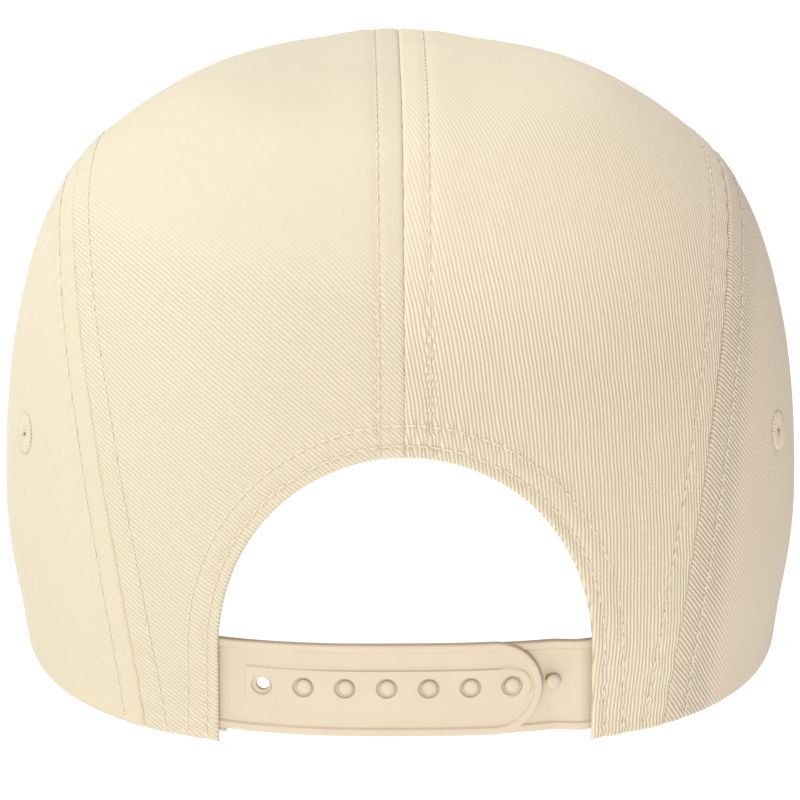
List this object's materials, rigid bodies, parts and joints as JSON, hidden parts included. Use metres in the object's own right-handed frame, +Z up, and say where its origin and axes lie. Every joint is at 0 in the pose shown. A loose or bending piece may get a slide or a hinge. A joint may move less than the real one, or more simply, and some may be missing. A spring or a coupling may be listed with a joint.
{
  "type": "five panel cap",
  "caption": "Soft cloth cap with a front panel, side and back panels, a curved peak, a sweatband, an arch at the back and a snap strap.",
  "frame": {"origin": "on the surface that the cap rests on, under the middle of its box", "axes": "+Y towards the peak, +Z up, +X to the wearer's right"},
  "size_m": [0.1752, 0.2516, 0.1261],
  "materials": {
    "twill": "matte cotton twill with a diagonal rib",
    "sweatband_cloth": "matte plain weave",
    "strap_plastic": "satin moulded plastic",
    "eyelet_thread": "satin stitched thread"
  },
  "bodies": {
    "root": {"front_panel": "twill", "side_panel_left": "twill", "side_panel_right": "twill", "back_panel_left": "twill", "back_panel_right": "twill", "peak": "twill", "sweatband": "sweatband_cloth", "strap_holes": "strap_plastic", "strap_pins": "strap_plastic", "eyelet_back_left": "eyelet_thread", "eyelet_back_right": "eyelet_thread", "eyelet_front_left": "eyelet_thread", "eyelet_front_right": "eyelet_thread"}
  },
  "joints": []
}
